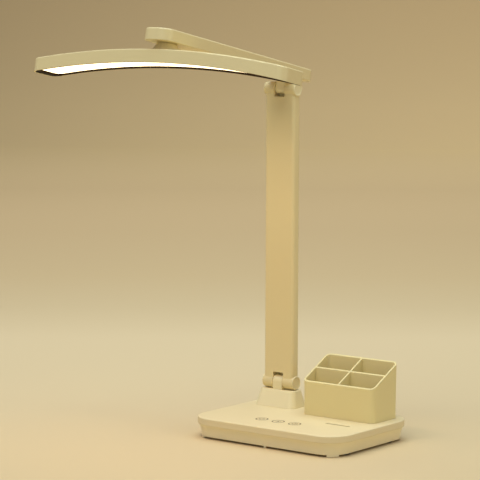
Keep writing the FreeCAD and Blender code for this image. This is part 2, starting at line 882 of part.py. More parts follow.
def make_swivel():
    y = -swivel_reach
    cone = Part.makeCone(
        boss_base_diameter / 2, boss_top_diameter / 2, boss_height - seat_clearance,
        vec(0, y, head_top), vec(0, 0, 1),
    )
    cone = cone.cut(head_block(0, head_roof, 0))
    tight = spindle_diameter / 2 + running_clearance
    cone = cone.cut(cyl(0, y, head_top - head_roof, (0, 0, 1), tight, boss_height + head_roof))
    save_on_arm("swivel_boss", cone)
    roof = head_top - head_roof
    flange_low = roof - spindle_flange_thickness - seat_clearance / 3
    hub_top = arm_bottom + hub_height
    washer_low = hub_top + running_clearance
    nut_low = washer_low + spring_washer_thickness + running_clearance
    shaft_top = nut_low + swivel_nut_height
    shaft = cyl(0, y, flange_low, (0, 0, 1), spindle_diameter / 2, shaft_top - flange_low)
    flange = cyl(0, y, flange_low, (0, 0, 1), spindle_flange_diameter / 2, spindle_flange_thickness)
    spindle = shaft.fuse(flange).removeSplitter()
    past = shaft_top - flange_low + 2
    spindle = spindle.cut(cyl(0, y, flange_low - 1, (0, 0, 1), spindle_bore_diameter / 2, past))
    save_on_arm("swivel_spindle", spindle)
    loose = cyl(0, y, flange_low, (0, 0, 1), tight, past)
    washer = cyl(0, y, washer_low, (0, 0, 1), spring_washer_diameter / 2, spring_washer_thickness)
    save_on_arm("swivel_washer", washer.cut(loose))
    nut = cyl(0, y, nut_low, (0, 0, 1), swivel_nut_diameter / 2, swivel_nut_height)
    flats = Part.makePolygon([
        vec(swivel_nut_diameter / 2 * math.cos(a), y + swivel_nut_diameter / 2 * math.sin(a), nut_low)
        for a in [math.radians(60 * i) for i in range(7)]
    ])
    nut = nut.common(Part.Face(flats).extrude(vec(0, 0, swivel_nut_height)))
    save_on_arm("swivel_nut", nut.cut(loose))


# ---------------------------------------------------------------- head


def arch_bar(top_drop, bottom_drop, half_length, y0, y1):
    """A bar bent along the head's arch, from one depth below its crown line to another."""
    centre_z = head_top - head_arch_radius
    upper = head_arch_radius - top_drop
    lower = head_arch_radius - bottom_drop

    def point(radius, x):
        return vec(x, y0, centre_z + math.sqrt(radius * radius - x * x))

    edges = [
        Part.Arc(point(upper, -half_length), point(upper, 0), point(upper, half_length)).toShape(),
        Part.LineSegment(point(upper, half_length), point(lower, half_length)).toShape(),
        Part.Arc(point(lower, half_length), point(lower, 0), point(lower, -half_length)).toShape(),
        Part.LineSegment(point(lower, -half_length), point(upper, -half_length)).toShape(),
    ]
    return Part.Face(Part.Wire(edges)).extrude(vec(0, y1 - y0, 0))


def head_block(top_drop, bottom_drop, inset, end_inset=None):
    """A block of the head's plan outline, drawn in by the inset and bent along the arch."""
    ends = inset if end_inset is None else end_inset
    half_length = head_length / 2 - ends
    half_width = head_width / 2 - inset
    past_length, past_width = half_length + overrun, half_width + overrun
    bar = arch_bar(
        top_drop, bottom_drop, past_length, -swivel_reach - past_width, -swivel_reach + past_width
    )
    plan = centred_slab(
        2 * half_length, 2 * half_width, head_top - 60, head_top + 10,
        max(head_corner_radius - inset, 1.0), 0, -swivel_reach,
    )
    return bar.common(plan)


def make_head_housing():
    outer = head_block(0, head_thickness, 0)
    crown = [
        e for e in outer.Edges
        if on_arch(e, 0)
    ]
    outer = outer.makeFillet(head_edge_round, crown)
    shell = outer.cut(head_block(head_roof, head_thickness + 1, head_wall))
    bore = spindle_diameter / 2 + running_clearance
    spindle_hole = cyl(0, -swivel_reach, head_top - head_thickness, (0, 0, 1), bore, head_thickness + 1)
    save_on_arm("head_housing", shell.cut(spindle_hole))


def on_arch(edge, drop):
    """Whether an edge lies on the arch's surface at one depth."""
    radius = head_arch_radius - drop
    centre_z = head_top - head_arch_radius
    for parameter in (edge.FirstParameter, edge.LastParameter):
        point = edge.valueAt(parameter)
        if abs(math.hypot(point.x, point.z - centre_z) - radius) > 1e-3:
            return False
    middle = edge.valueAt((edge.FirstParameter + edge.LastParameter) / 2)
    return abs(math.hypot(middle.x, middle.z - centre_z) - radius) < 1e-3


def make_light():
    gap = fit_clearance
    low = head_thickness + bezel_proud
    high = low - bezel_depth
    bezel = head_block(high, low, head_wall + gap)
    window_side = head_wall + gap + bezel_side_width
    window_end = head_wall + gap + bezel_end_width
    bezel = bezel.cut(head_block(high - 1, low + 1, window_side, window_end))
    ledge = low - diffuser_recess
    pocket_side, pocket_end = window_side - bezel_ledge, window_end - bezel_ledge
    pocket = head_block(high - 1, ledge, pocket_side, pocket_end)
    bezel = bezel.cut(pocket)
    save_on_arm("bezel_frame", fuse([bezel] + bezel_clips(high)))
    diffuser = head_block(
        ledge - diffuser_thickness, ledge, pocket_side + gap, pocket_end + gap
    )
    save_on_arm("diffuser", diffuser)
    make_led_boards()


def bezel_clips(bezel_top):
    """Snap tabs that stand up from the bezel, just inside the housing's long walls."""
    inside = head_wall + fit_clearance
    ring = head_block(bezel_top - clip_height, bezel_top + clip_root, inside)
    ring = ring.cut(head_block(0, head_thickness + 2, inside + clip_thickness))
    clips = []
    step = 2 * clip_reach / (clip_count - 1)
    for i in range(clip_count):
        x = -clip_reach + i * step
        tab = box(x - clip_length / 2, x + clip_length / 2, -2 * swivel_reach, 0, -100, 100)
        clips.append(ring.common(tab))
    return clips


def make_led_boards():
    top = head_roof + running_clearance
    bottom = top + led_board_thickness
    half = led_board_reach
    y0 = -swivel_reach - led_board_width / 2
    strip = arch_bar(top, bottom, half, y0, y0 + led_board_width)
    strip = strip.cut(box(-led_board_gap / 2, led_board_gap / 2, -400, 0, -60, 60))
    save_on_arm("led_boards", strip)
    chips = []
    first = led_board_gap / 2 + led_size
    step = (half - led_size - first) / (led_per_row - 1)
    for side in (-1, 1):
        for row in range(led_rows):
            y = -swivel_reach + (row - (led_rows - 1) / 2) * led_row_spacing
            for i in range(led_per_row):
                chips.append(led_chip(side * (first + i * step), y, bottom))
    save_on_arm("led_chips", chips)


def led_chip(x, y, drop):
    """One LED, level with the arch where it sits."""
    half = led_size / 2
    radius = head_arch_radius - drop
    chip = box(-half, half, y - half, y + half, radius - led_height, radius)
    chip.translate(vec(0, 0, -running_clearance))
    chip.rotate(vec(0, 0, 0), vec(0, 1, 0), math.degrees(x / radius))
    chip.translate(vec(0, 0, head_top - head_arch_radius))
    return chip


# ---------------------------------------------------------------- pen holder


def holder_form(inset, z_low, z_high):
    """The holder's drafted outline between two heights, drawn in by the inset."""
    bottom_z = base_height - holder_seat_depth
    rise = holder_back_height

    def outline(z):
        draft = holder_draft * (1 - (z - bottom_z) / rise)
        half_x = holder_length / 2 - draft - inset
        half_y = holder_depth / 2 - draft - inset
        return rounded_wire(
            holder_x - half_x, holder_x + half_x, holder_y - half_y, holder_y + half_y, z,
            holder_corner_radius - inset,
        )

    return Part.makeLoft([outline(z_low), outline(z_high)], True, True)


def rim_cutter():
    """Everything above the holder's slanted rim."""
    y0 = holder_y - holder_depth / 2
    y1 = holder_y + holder_depth / 2
    low = base_height + holder_front_height - holder_seat_depth
    high = base_height + holder_back_height - holder_seat_depth
    slope = (high - low) / (y1 - y0)
    reach = 10.0
    ridge = high + 50
    side = Part.makePolygon([
        vec(holder_x - holder_length, y0 - reach, low - reach * slope),
        vec(holder_x - holder_length, y1 + reach, high + reach * slope),
        vec(holder_x - holder_length, y1 + reach, ridge),
        vec(holder_x - holder_length, y0 - reach, ridge),
        vec(holder_x - holder_length, y0 - reach, low - reach * slope),
    ])
    return Part.Face(side).extrude(vec(2 * holder_length, 0, 0))


def make_pen_holder():
    bottom = base_height - holder_seat_depth
    top = bottom + holder_back_height + 5
    outer = holder_form(0, bottom, top)
    inner = holder_form(holder_wall, bottom + holder_floor, top + 1)
    half = divider_thickness / 2
    x_wall = box(
        holder_x - holder_length / 2, holder_x + holder_length / 2, holder_y - half,
        holder_y + half, bottom, top + 2,
    )
    y_wall = box(
        holder_x - half, holder_x + half, holder_y - holder_depth / 2,
        holder_y + holder_depth / 2, bottom, top + 2,
    )
    hollow = cut(inner, [x_wall, y_wall])
    save("pen_holder", outer.cut(hollow).cut(rim_cutter()))


def holder_seat():
    """The shallow seat in the lid that locates the holder."""
    gap = 0.4
    bottom = base_height - holder_seat_depth
    return centred_slab(
        holder_length - 2 * holder_draft + 2 * gap, holder_depth - 2 * holder_draft + 2 * gap,
        bottom, base_height + 1, holder_corner_radius + gap, holder_x, holder_y,
    )


make_tray()
make_feet()
make_lid()
make_touch_controls()
make_case_screws()
make_boards()
make_ballast_and_cell()
make_pedestal()
make_base_bracket()
make_column()
make_column_cover()
make_column_lead()
make_base_lead()
hinge_set("lower", lower_axis_z, base_washer_diameter)
hinge_set("upper", upper_axis_z, arm_washer_diameter)
make_arm()
make_arm_cover()
make_arm_bracket()
make_arm_lead()
make_swivel()
make_head_housing()
make_light()
make_pen_holder()

os.makedirs("parts", exist_ok=True)
for node, shape in parts.items():
    shape.exportStep(os.path.join("parts", node + ".step"))
    print(node, len(shape.Solids), round(shape.Volume / 1000, 2), "cm3", shape.isValid())
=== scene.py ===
import math
import bpy
import numpy as np
from mathutils import Matrix, Vector


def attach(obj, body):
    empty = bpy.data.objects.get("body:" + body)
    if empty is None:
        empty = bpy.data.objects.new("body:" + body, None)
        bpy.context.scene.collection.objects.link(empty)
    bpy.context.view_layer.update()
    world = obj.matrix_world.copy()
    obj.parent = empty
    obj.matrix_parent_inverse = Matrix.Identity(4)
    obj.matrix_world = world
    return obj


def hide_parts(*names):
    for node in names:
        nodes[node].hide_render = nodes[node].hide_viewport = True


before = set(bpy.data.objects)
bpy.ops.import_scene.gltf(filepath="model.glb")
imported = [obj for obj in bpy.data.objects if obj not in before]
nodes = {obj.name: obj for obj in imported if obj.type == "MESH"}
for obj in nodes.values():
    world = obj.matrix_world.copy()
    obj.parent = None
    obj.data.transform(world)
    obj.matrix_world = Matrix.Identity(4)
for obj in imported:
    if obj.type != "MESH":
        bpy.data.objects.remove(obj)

scene = bpy.context.scene
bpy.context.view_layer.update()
print("frame loaded with", len(nodes), "nodes")

# a long lens, standing to the right of the front and looking slightly down
viewpoint = {
    "location": (1.36543, -1.87177, 0.47164),
    "right": (0.79108, 0.61170, 0.00342),
    "up": (-0.07216, 0.08777, 0.99352),
    "back": (0.60744, -0.78621, 0.11357),
    "lens": 169.55,
    "sensor": 36.0,
}


def placeCamera(v):
    data = bpy.data.cameras.new("camera")
    data.sensor_width = v["sensor"]
    data.lens = v["lens"]
    data.clip_start, data.clip_end = 0.05, 60.0
    data.dof.use_dof = False
    camera = bpy.data.objects.new("camera", data)
    scene.collection.objects.link(camera)
    axes = Matrix((v["right"], v["up"], v["back"])).transposed()
    camera.matrix_world = Matrix.Translation(v["location"]) @ axes.to_4x4()
    scene.camera = camera


placeCamera(viewpoint)
scene.view_settings.view_transform = "Standard"
print("camera placed")


class Link:  # one socket of a finish; arithmetic on it adds Math nodes
    def __init__(self, finish, socket):
        self.finish = finish
        self.socket = socket

    def calc(self, operation, *others):
        return self.finish.calc(operation, self, *others)

    def __add__(self, other):
        return self.finish.calc("ADD", self, other)

    def __sub__(self, other):
        return self.finish.calc("SUBTRACT", self, other)

    def __rsub__(self, other):
        return self.finish.calc("SUBTRACT", other, self)

    def __mul__(self, other):
        return self.finish.calc("MULTIPLY", self, other)

    def __pow__(self, other):
        return self.finish.calc("POWER", self, other)

    __radd__ = __add__
    __rmul__ = __mul__

    def size(self):
        return self.calc("ABSOLUTE")

    def between(self, low, high):  # 0 below low, 1 above high, straight between
        return self.finish.add("ShaderNodeMapRange", {"clamp": True}, {
            "Value": self, "From Min": low, "From Max": high, "To Min": 0.0, "To Max": 1.0,
        })


class Finish:  # one material, with its Principled shader
    def __init__(self, name, **constants):
        self.material = bpy.data.materials.new(name)
        self.material.use_nodes = True
        self.tree = self.material.node_tree
        self.tree.nodes.clear()
        self.shader = self.tree.nodes.new("ShaderNodeBsdfPrincipled")
        output = self.tree.nodes.new("ShaderNodeOutputMaterial")
        self.tree.links.new(self.shader.outputs[0], output.inputs["Surface"])
        self.feed(self.shader, constants)
        self.place = self.add("ShaderNodeTexCoord", {}, {}, "Object")

    def feed(self, node, values):
        for key, value in values.items():
            name = key.replace("_", " ") if isinstance(key, str) else key
            if isinstance(name, int):
                socket = node.inputs[name]
            else:
                socket = next(s for s in node.inputs if s.enabled and s.name == name)
            if isinstance(value, Link):
                self.tree.links.new(value.socket, socket)
            elif socket.type == "RGBA":
                socket.default_value = (*value[:3], 1.0)
            else:
                socket.default_value = value

    def add(self, kind, settings, values, output=None):
        node = self.tree.nodes.new(kind)
        for key, value in settings.items():
            if key == "stops":
                while len(node.color_ramp.elements) < len(value):
                    node.color_ramp.elements.new(0.5)
                for element, (at, color) in zip(node.color_ramp.elements, value):
                    element.position = at
                    element.color = (*color, 1.0)
            else:
                setattr(node, key, value)
        self.feed(node, values)
        found = [s for s in node.outputs if s.enabled and output in (None, s.name)]
        return Link(self, found[0])

    def calc(self, operation, *values):
        return self.add("ShaderNodeMath", {"operation": operation}, dict(enumerate(values)))

    def mix(self, first, second, share):
        return self.add("ShaderNodeMix", {"data_type": "RGBA"}, {
            "Factor": share, "A": first, "B": second,
        })

    def times(self, first, second):  # two colours multiplied
        return self.add("ShaderNodeMix", {"data_type": "RGBA", "blend_type": "MULTIPLY"}, {
            "Factor": 1.0, "A": first, "B": second,
        })

    def noise(self, scale, detail=2.0, rough=0.5, at=None):
        return self.add("ShaderNodeTexNoise", {}, {
            "Vector": at or self.place, "Scale": scale, "Detail": detail, "Roughness": rough,
        })

    def stretched(self, x, y, z):  # the place, scaled unevenly
        return self.add("ShaderNodeVectorMath", {"operation": "MULTIPLY"}, {
            0: self.place, 1: (x, y, z),
        })

    def axes(self, at=None):
        parts = self.tree.nodes.new("ShaderNodeSeparateXYZ")
        self.tree.links.new((at or self.place).socket, parts.inputs[0])
        return [Link(self, s) for s in parts.outputs]

    def roundedNormal(self, radius):
        return self.add("ShaderNodeBevel", {"samples": 6}, {"Radius": radius})

    def edgeMask(self, rounded, gain):  # 1 on the part's edges, 0 on its flats
        flat = self.add("ShaderNodeNewGeometry", {}, {}, "Normal")
        along = self.add("ShaderNodeVectorMath", {"operation": "DOT_PRODUCT"}, {
            0: rounded, 1: flat,
        }, "Value")
        return ((1 - along) * gain).calc("MINIMUM", 1.0)

    def bump(self, height, distance, normal=None, strength=1.0):
        values = {"Height": height, "Distance": distance, "Strength": strength}
        if normal is not None:
            values["Normal"] = normal
        return self.add("ShaderNodeBump", {}, values)

    def surface(self, **values):
        self.feed(self.shader, values)
        return self.material


def shade(color, factor):  # lighter above 1, darker below
    return tuple(min(1.0, c * factor) for c in color)


# moulded plastic: slow tone drift, fine spark-eroded grain, rubbed edges
casingLook = {
    "color": (0.79, 0.655, 0.328), "tone": 0.025, "worn": 1.06, "rough": 0.40,
    "roughSpread": 0.10, "grain": 0.00042, "depth": 0.000012, "edge": 0.0006,
}
# the lid: the casing's colour with more blue, painted light for how the studio lights the lid,
# and a groove whose floor is painted shade
lidLook = {**casingLook, "color": (0.785, 0.66, 0.372), "groove": {
    "x": 0.0551, "y": -0.0117, "length": 0.031, "width": 0.0036, "floor": 0.021,
    "shade": 0.66, "soft": 0.0002, "top": 0.0009,
}}


# the mask where the floor of the lid's groove gets painted shade
def grooveShadeMask(f, g):  # 1 low inside the lid's groove, 0 elsewhere
    x, y, z = f.axes()
    halfLength, halfWidth = g["length"] / 2, g["width"] / 2
    along = 1 - (x - g["x"]).size().between(halfLength, halfLength + g["soft"])
    across = 1 - (y - g["y"]).size().between(halfWidth, halfWidth + g["soft"])
    low = 1 - z.between(g["floor"] + g["soft"], g["floor"] + g["top"])
    return along.calc("MINIMUM", across) * low


def mouldedPlastic(name, look):
    f = Finish(name, **look.get("constants", {}))
    drift = f.noise(7.0, 3.0)
    grain = f.noise(1 / look["grain"], 2.0, 0.6)
    handled = f.noise(38.0, 4.0, 0.62)
    rounded = f.roundedNormal(look["edge"])
    edge = f.edgeMask(rounded, 5.0)
    low, high = shade(look["color"], 1 - look["tone"]), shade(look["color"], 1 + look["tone"])
    body = f.mix(low, high, drift)
    body = f.mix(body, shade(look["color"], look["worn"]), edge * 0.6)
    # painted shade: the floor of the lid's groove is painted darker, to the groove's shade of the
    # colour
    if "groove" in look:
        groove = look["groove"]
        body = f.mix(body, shade(look["color"], groove["shade"]), grooveShadeMask(f, groove))
    rough = look["rough"] + (handled - 0.5) * look["roughSpread"] + (grain - 0.5) * 0.06
    rough = rough - edge * 0.08
    return f.surface(
        Base_Color=body, Roughness=rough, Normal=f.bump(grain, look["depth"], rounded)
    )


# metals: fine brushing or plating mottle, small scratches, brighter edges
def plainMetal(name, look):
    f = Finish(name)
    x, y, z = look["brush"]
    lines = f.noise(900.0, 3.0, 0.7, f.stretched(x, y, z))
    mottle = f.noise(260.0, 4.0, 0.6)
    rounded = f.roundedNormal(0.00025)
    edge = f.edgeMask(rounded, 4.0)
    body = f.mix(shade(look["color"], 0.86), shade(look["color"], 1.08), mottle)
    body = f.mix(body, look["stain"], mottle.between(0.60, 0.78) * look["stained"])
    body = f.mix(body, shade(look["color"], 1.25), edge * 0.5)
    rough = look["rough"] + (lines - 0.5) * 0.22 + (mottle - 0.5) * 0.12
    return f.surface(
        Base_Color=body, Roughness=rough, Metallic=1.0,
        Normal=f.bump(lines * 0.7 + mottle * 0.3, look["depth"], rounded),
    )


# the lit panel: opal, whiter in waves across it where the rows of chips lie
panelLook = {
    "color": (0.93, 0.91, 0.86), "warm": (1.0, 0.74, 0.40), "cool": (1.0, 0.82, 0.50),
    "strength": 4.0, "rowPitch": 0.017,
}


def litPanel(name, look):
    f = Finish(name, Emission_Strength=look["strength"])
    x, y, z = f.axes()
    wave = (x * (2 * math.pi / look["rowPitch"])).calc("COSINE") * 0.5 + 0.5
    glow = f.mix(look["warm"], look["cool"], wave * 0.6 + f.noise(30.0) * 0.4)
    fine = f.noise(1800.0, 2.0)
    body = f.mix(shade(look["color"], 0.97), look["color"], fine)
    return f.surface(
        Base_Color=body, Emission_Color=glow, Roughness=0.42 + (fine - 0.5) * 0.12,
        Normal=f.bump(fine, 0.00001),
    )


# touch film: a printed ring round each spot and a plain symbol in it
filmLook = {
    "ink": (0.10, 0.052, 0.012), "pitch": 0.021, "centreX": -0.0035, "centreY": -0.0346,
    "ring": 0.0062, "line": 0.00058, "soft": 0.0001,
    "arc": 0.0026, "arcGap": 0.0011, "stem": (0.0009, 0.0034),  # power sign
    "disc": (0.00125, 0.00145), "rays": 4, "ray": (0.0022, 0.0034),  # brightness sign
    "clock": 0.0028, "longHand": 0.0019, "shortHand": 0.0015,  # timer sign
}


def touchFilm(name, look, ground):
    # p and q run from the middle of the nearest spot and r is the distance from it; each line
    # is drawn where a formula in them is near 0, as r less the radius is for a ring
    f = Finish(name, Specular_IOR_Level=0.2)
    x, y, z = f.axes()
    across = x - look["centreX"]
    p = f.calc("WRAP", across, look["pitch"] / 2, -look["pitch"] / 2)
    q = y - look["centreY"]
    r = (p * p + q * q) ** 0.5
    thin, soft = look["line"], look["soft"]

    def band(value, width):  # 1 where the value is within the half width of 0
        return 1 - value.size().between(width * 0.75, width * 1.25)

    def both(a, b):
        return a.calc("MINIMUM", b)

    def either(a, b):
        return a.calc("MAXIMUM", b)

    def span(value, low, high):
        return both(value.between(low - soft, low), 1 - value.between(high, high + soft))

    ring = band(r - look["ring"], thin)
    gap = both(span(p, -look["arcGap"], look["arcGap"]), q.between(0, soft))
    arc = both(band(r - look["arc"], thin * 0.8), 1 - gap)
    power = either(arc, both(band(p, thin * 0.8), span(q, *look["stem"])))
    turn = f.calc("ARCTAN2", q, p)
    wave = (turn * look["rays"]).calc("SINE") * r * (1 / look["rays"])
    ray = both(band(wave, thin * 0.6), span(r, *look["ray"]))
    sun = either(1 - r.between(*look["disc"]), ray)
    hands = either(
        both(band(p, thin * 0.7), span(q, -soft, look["longHand"])),
        both(band(q, thin * 0.7), span(p, -soft, look["shortHand"])),
    )
    clock = either(band(r - look["clock"], thin * 0.8), hands)
    halfPitch = look["pitch"] / 2
    left = 1 - across.between(-halfPitch, -halfPitch + 1e-5)
    right = across.between(halfPitch, halfPitch + 1e-5)
    middle = 1 - either(left, right)
    symbol = either(both(power, left), either(both(sun, middle), both(clock, right)))
    inked = either(ring, symbol)
    speck = f.noise(900.0, 3.0)
    drift = f.noise(60.0, 2.0)
    body = f.mix(shade(ground, 0.97), shade(ground, 1.02), drift)
    body = f.mix(body, look["ink"], inked * (0.92 + speck * 0.08))
    return f.surface(
        Base_Color=body, Roughness=0.30 + (speck - 0.5) * 0.1 + inked * 0.12,
        Normal=f.bump(speck * 0.2 + inked, 0.00002),
    )


# rubber and foam: dusty and matt, with open pores
rubberLook = {"color": (0.020, 0.019, 0.018), "rough": 0.72, "pore": 0.0008}
foamLook = {"color": (0.030, 0.030, 0.030), "rough": 0.90, "pore": 0.0011}


def dullRubber(name, look):
    f = Finish(name, Specular_IOR_Level=0.35)
    dust = f.noise(85.0, 5.0, 0.65)
    fine = f.noise(1 / look["pore"], 3.0, 0.6)
    rounded = f.roundedNormal(0.0003)
    body = f.mix(look["color"], shade(look["color"], 1.9), dust.between(0.45, 0.85))
    return f.surface(
        Base_Color=body, Roughness=look["rough"] + (dust - 0.5) * 0.16,
        Normal=f.bump(fine, look["pore"] * 0.05, rounded),
    )


# boards: solder mask over brick-laid tracks, with plated dots
boardLook = {
    "mask": (0.010, 0.085, 0.035), "track": (0.020, 0.150, 0.060), "pad": (0.75, 0.62, 0.30),
    "pitch": 0.0021,
}


def circuitBoard(name, look):
    f = Finish(name, Specular_IOR_Level=0.5)
    cell = {"Vector": f.place, "Scale": 1 / look["pitch"], "Randomness": 0.35}
    tracks = f.add("ShaderNodeTexBrick", {"offset": 0.5}, {
        "Vector": f.stretched(1, 1, 0), "Scale": 160.0, "Mortar Size": 0.12, "Color1": (0, 0, 0),
        "Color2": (0, 0, 0), "Mortar": (1, 1, 1),
    }, "Color")
    dots = f.add("ShaderNodeTexVoronoi", {}, cell)
    via = 1 - dots.between(0.10, 0.16)
    weave = f.noise(700.0, 2.0)
    body = f.mix(look["mask"], look["track"], f.add("ShaderNodeRGBToBW", {}, {"Color": tracks}))
    body = f.mix(body, look["pad"], via)
    return f.surface(
        Base_Color=body, Metallic=via * 0.9, Roughness=0.28 + (weave - 0.5) * 0.14,
        Normal=f.bump(weave * 0.4 + via, 0.00002),
    )


# the cell's pouch: creased foil; its colour is painted shade in the creases' hollows and painted
# highlight on their ridges
foilLook = {"color": (0.62, 0.63, 0.66), "creases": 120.0}


def foilPouch(name, look):
    f = Finish(name)
    crease = f.noise(look["creases"], 5.0, 0.7)
    fine = f.noise(800.0, 2.0)
    # painted shade and highlight: the colour follows the crease height
    body = f.mix(shade(look["color"], 0.82), shade(look["color"], 1.1), crease)
    return f.surface(
        Base_Color=body, Metallic=0.85, Roughness=0.30 + (crease - 0.5) * 0.25,
        Normal=f.bump(crease * 0.8 + fine * 0.2, 0.0002),
    )


# LED chips: yellow phosphor in a white package
chipLook = {"phosphor": (0.90, 0.62, 0.08), "package": (0.86, 0.84, 0.78)}


def chipPackage(name, look):
    f = Finish(name)
    cells = f.noise(1500.0, 2.0)
    patches = f.noise(240.0, 1.0).between(0.30, 0.44)
    body = f.mix(look["package"], look["phosphor"], patches)
    return f.surface(
        Base_Color=body, Roughness=0.26 + (cells - 0.5) * 0.12, Normal=f.bump(cells, 0.00001)
    )


# warm white mouldings, all one plastic; each moulding's separate tone is painted light and shade,
# which makes up for how the studio lights each of them
plastics = {
    "casing": casingLook,
    "lidPaintedLight": lidLook,
    "trayPaintedLight": {**casingLook, "color": (0.89, 0.785, 0.475)},
    "pedestalPaintedLight": {**casingLook, "color": (0.87, 0.76, 0.44)},
    "holderPaintedLight": {**casingLook, "color": (0.80, 0.678, 0.314)},
    "hingePaintedLight": {
        **casingLook, "color": (0.85, 0.735, 0.405), "tone": 0.03, "rough": 0.36,
        "grain": 0.0007, "depth": 0.00002,
    },
    "blackTrim": {
        "color": (0.011, 0.005, 0.0015), "tone": 0.15, "worn": 1.3, "rough": 0.55,
        "roughSpread": 0.12, "grain": 0.0005, "depth": 0.00001, "edge": 0.0003,
        "constants": {"Specular_IOR_Level": 0.05},
    },
    "blackMould": {
        "color": (0.024, 0.024, 0.027), "tone": 0.2, "worn": 1.8, "rough": 0.46,
        "roughSpread": 0.12, "grain": 0.0004, "depth": 0.00002, "edge": 0.0002,
    },
    "leadSleeve": {
        "color": (0.035, 0.034, 0.033), "tone": 0.12, "worn": 1.2, "rough": 0.50,
        "roughSpread": 0.14, "grain": 0.0009, "depth": 0.00003, "edge": 0.0002,
    },
    "nylon": {
        "color": (0.72, 0.69, 0.60), "tone": 0.05, "worn": 0.92, "rough": 0.33,
        "roughSpread": 0.16, "grain": 0.0006, "depth": 0.00001, "edge": 0.0001,
        "constants": {"Subsurface_Weight": 0.15, "Subsurface_Radius": (0.001, 0.001, 0.0008)},
    },
}
metals = {
    "zinc": {
        "color": (0.60, 0.60, 0.57), "stain": (0.50, 0.47, 0.36), "stained": 0.35,
        "rough": 0.30, "brush": (1, 1, 0.3), "depth": 0.000006,
    },
    "brightSteel": {
        "color": (0.68, 0.68, 0.68), "stain": (0.5, 0.5, 0.5), "stained": 0.1,
        "rough": 0.18, "brush": (1, 0.15, 1), "depth": 0.000003,
    },
    "springSteel": {
        "color": (0.30, 0.30, 0.32), "stain": (0.20, 0.17, 0.13), "stained": 0.5,
        "rough": 0.34, "brush": (1, 1, 0.2), "depth": 0.000006,
    },
    "turnedSteel": {
        "color": (0.50, 0.50, 0.49), "stain": (0.40, 0.37, 0.30), "stained": 0.2,
        "rough": 0.26, "brush": (0.2, 0.2, 1), "depth": 0.000005,
    },
    "blackSteel": {
        "color": (0.075, 0.070, 0.066), "stain": (0.20, 0.10, 0.05), "stained": 0.4,
        "rough": 0.48, "brush": (1, 0.3, 1), "depth": 0.00002,
    },
}
finishes = {name: mouldedPlastic(name, look) for name, look in plastics.items()}
finishes.update({name: plainMetal(name, look) for name, look in metals.items()})
finishes["panel"] = litPanel("panel", panelLook)
# the film's ground takes the lid's tone, with its painted light
finishes["film"] = touchFilm("film", filmLook, lidLook["color"])
finishes["rubber"] = dullRubber("rubber", rubberLook)
finishes["foam"] = dullRubber("foam", foamLook)
finishes["board"] = circuitBoard("board", boardLook)
finishes["foil"] = foilPouch("foil", foilLook)
finishes["phosphor"] = chipPackage("phosphor", chipLook)

dressed = {
    "casing": ["column_shell", "column_cover", "arm_shell", "arm_cover", "swivel_boss",
               "head_housing"],
    # lid, tray, pedestal, pen holder and hinge pieces take the tones with painted light and shade
    "lidPaintedLight": ["base_lid"],
    "trayPaintedLight": ["base_tray"],
    "pedestalPaintedLight": ["pedestal"],
    "holderPaintedLight": ["pen_holder"],
    "hingePaintedLight": ["base_bracket", "arm_bracket", "lower_end_caps", "upper_end_caps"],
    "blackTrim": ["bezel_frame"],
    "blackMould": ["board_components"],
    "leadSleeve": ["base_lead", "column_lead", "arm_lead"],
    "nylon": ["lower_friction_washers", "upper_friction_washers"],
    "zinc": ["base_screws", "pedestal_screws", "bracket_screws", "column_screws", "arm_screws",
             "arm_bracket_screws", "lower_hinge_bolt", "lower_hinge_nut", "upper_hinge_bolt",
             "upper_hinge_nut", "swivel_nut"],
    "brightSteel": ["charge_port"],
    "springSteel": ["swivel_washer"],
    "turnedSteel": ["swivel_spindle"],
    "blackSteel": ["ballast_plate"],
    "panel": ["diffuser"],
    "film": ["touch_icons"],
    "rubber": ["rubber_feet"],
    "foam": ["touch_pads"],
    "board": ["control_board", "charge_board", "led_boards"],
    "foil": ["battery_cell"],
    "phosphor": ["led_chips"],
}
for finishName, parts in dressed.items():
    for part in parts:
        node = nodes[part]
        if not node.material_slots:
            node.data.materials.append(finishes[finishName])
        for entry in node.material_slots:
            entry.material = finishes[finishName]
print("finishes made:", len(bpy.data.materials))


def skins(name, points, material, body, slotName, *replaced):
    # points: shells, rows of each, places round each row; the first and last row of a shell
    # shrink to a point, and quads join each row to the next
    count, rows, cols, _ = points.shape
    inner = points[:, 1:-1].reshape(count, -1, 3)
    tips = np.stack([points[:, 0].mean(1), points[:, -1].mean(1)], 1)
    places = np.concatenate([inner, tips], 1)
    i, j = np.meshgrid(np.arange(rows - 3), np.arange(cols), indexing="ij")
    k = (j + 1) % cols
    quads = np.stack([i * cols + j, i * cols + k, (i + 1) * cols + k, (i + 1) * cols + j], -1)
    quads = quads.reshape(-1, 4)
    ring, after = np.arange(cols), (np.arange(cols) + 1) % cols
    top, end = (rows - 2) * cols, (rows - 3) * cols
    first = np.stack([np.full(cols, top), after, ring], -1)
    last = np.stack([np.full(cols, top + 1), end + ring, end + after], -1)
    shift = (np.arange(count) * places.shape[1])[:, None, None]
    fours = (quads[None] + shift).reshape(-1, 4)
    threes = (np.concatenate([first, last])[None] + shift).reshape(-1, 3)
    mesh = bpy.data.meshes.new(name)
    mesh.from_pydata(places.reshape(-1, 3).tolist(), [], fours.tolist() + threes.tolist())
    mesh.polygons.foreach_set("use_smooth", np.ones(len(mesh.polygons), bool))
    mesh.materials.append(material)
    mesh.update()
    piece = bpy.data.objects.new(name, mesh)
    scene.collection.objects.link(piece)
    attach(piece, body)
    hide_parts(*replaced)


def onto(points, origins, right, forward, outward):
    # moves shells drawn about the origin, +Z outward, onto their places
    basis = np.array([right, forward, outward])
    return points[None] @ basis + np.array(origins)[:, None, None, :]


def easeStep(value, low, high):  # smoothly from 0 at low to 1 at high
    t = np.clip((value - low) / (high - low), 0, 1)
    return t * t * (3 - 2 * t)


